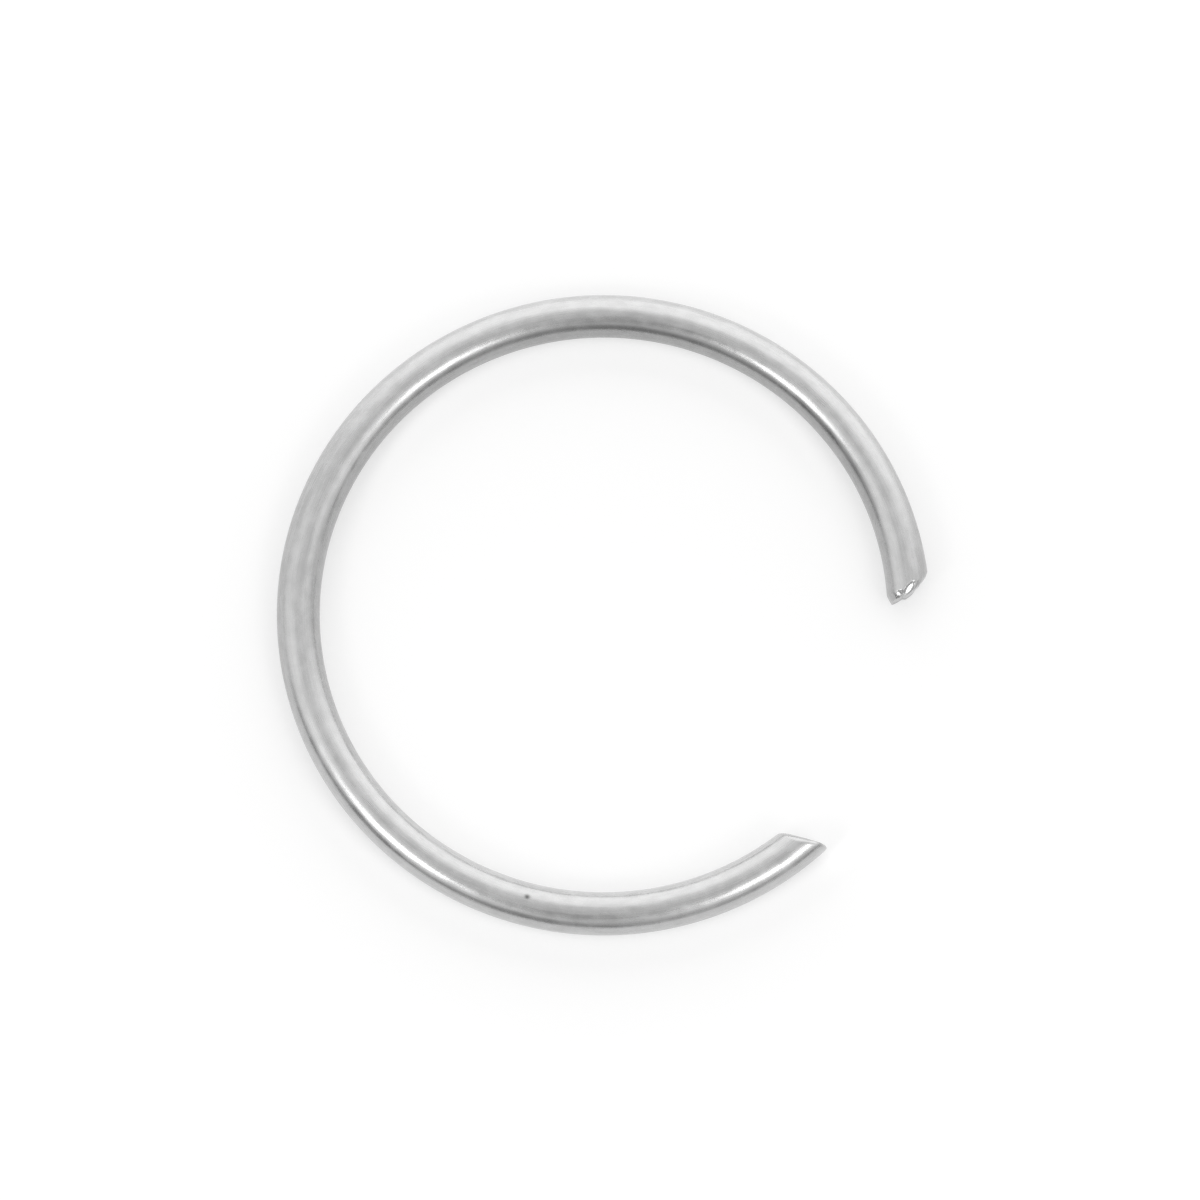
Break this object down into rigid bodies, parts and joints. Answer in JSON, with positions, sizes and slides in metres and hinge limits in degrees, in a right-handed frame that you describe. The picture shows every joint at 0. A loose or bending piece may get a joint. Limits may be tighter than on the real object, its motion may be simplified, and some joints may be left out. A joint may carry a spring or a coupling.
{
  "type": "round wire retaining ring",
  "caption": "Open retaining ring of round spring wire with slant-cut ends, which springs into a groove in a bore and stops a pin or shaft sliding out.",
  "frame": {"origin": "centre of the ring, halfway up the wire", "axes": "+Z along the ring's axis, +X through the middle of the gap between the two ends"},
  "size_m": [0.0145, 0.0152, 0.001],
  "materials": {
    "spring_steel": "satin drawn wire, with fine lines along the wire and bright sheared ends"
  },
  "bodies": {
    "root": {"retaining_ring": "spring_steel"}
  },
  "joints": []
}
